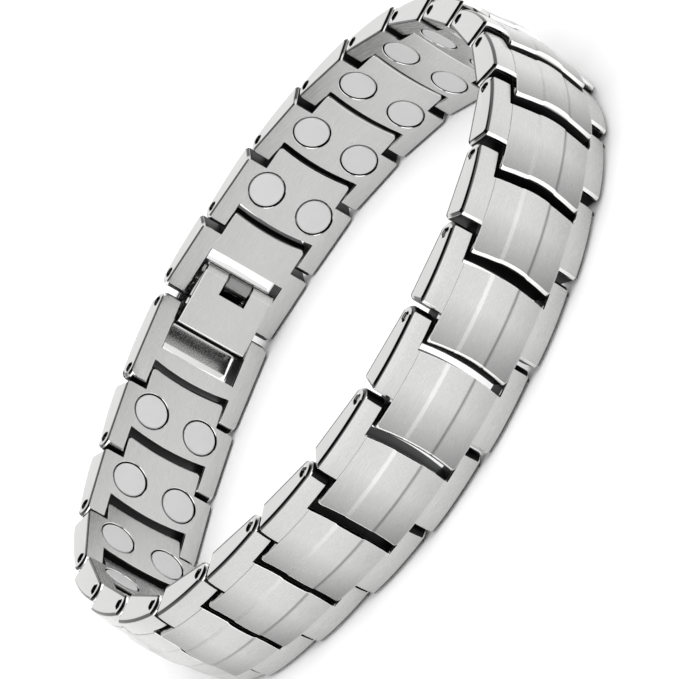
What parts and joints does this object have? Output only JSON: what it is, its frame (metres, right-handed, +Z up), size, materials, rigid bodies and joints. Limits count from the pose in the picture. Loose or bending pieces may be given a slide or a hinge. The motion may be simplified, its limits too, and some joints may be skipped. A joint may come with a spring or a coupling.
{
  "type": "magnetic link bracelet",
  "caption": "Closed bracelet of pinned, crowned steel links with flush magnet discs on the inside and a fold-over clasp.",
  "frame": {"origin": "centre of the bounding box in plan, at the plane that the lower side faces rest on", "axes": "+Z up, along the width of the band and the axis of the loop; the clasp is on the +Y side of the loop"},
  "size_m": [0.0722, 0.0746, 0.0135],
  "materials": {
    "brushed_steel": "satin brushed, polished edges",
    "pin_steel": "polished",
    "magnet": "matte grey"
  },
  "bodies": {
    "root": {"link_01": "brushed_steel", "link_02": "brushed_steel", "link_03": "brushed_steel", "link_04": "brushed_steel", "link_05": "brushed_steel", "link_06": "brushed_steel", "link_07": "brushed_steel", "link_08": "brushed_steel", "link_09": "brushed_steel", "link_10": "brushed_steel", "link_11": "brushed_steel", "link_12": "brushed_steel", "link_13": "brushed_steel", "link_14": "brushed_steel", "link_15": "brushed_steel", "link_16": "brushed_steel", "link_17": "brushed_steel", "link_18": "brushed_steel", "link_19": "brushed_steel", "link_20": "brushed_steel", "link_21": "brushed_steel", "link_22": "brushed_steel", "end_link_a": "brushed_steel", "end_link_b": "brushed_steel", "clasp_cover": "brushed_steel", "clasp_plate": "brushed_steel", "pin_00": "pin_steel", "pin_01": "pin_steel", "pin_02": "pin_steel", "pin_03": "pin_steel", "pin_04": "pin_steel", "pin_05": "pin_steel", "pin_06": "pin_steel", "pin_07": "pin_steel", "pin_08": "pin_steel", "pin_09": "pin_steel", "pin_10": "pin_steel", "pin_11": "pin_steel", "pin_12": "pin_steel", "pin_13": "pin_steel", "pin_14": "pin_steel", "pin_15": "pin_steel", "pin_16": "pin_steel", "pin_17": "pin_steel", "pin_18": "pin_steel", "pin_19": "pin_steel", "pin_20": "pin_steel", "pin_21": "pin_steel", "pin_22": "pin_steel", "pin_23": "pin_steel", "pin_24": "pin_steel", "clasp_hinge_pin": "pin_steel", "magnets": "magnet"}
  },
  "joints": []
}
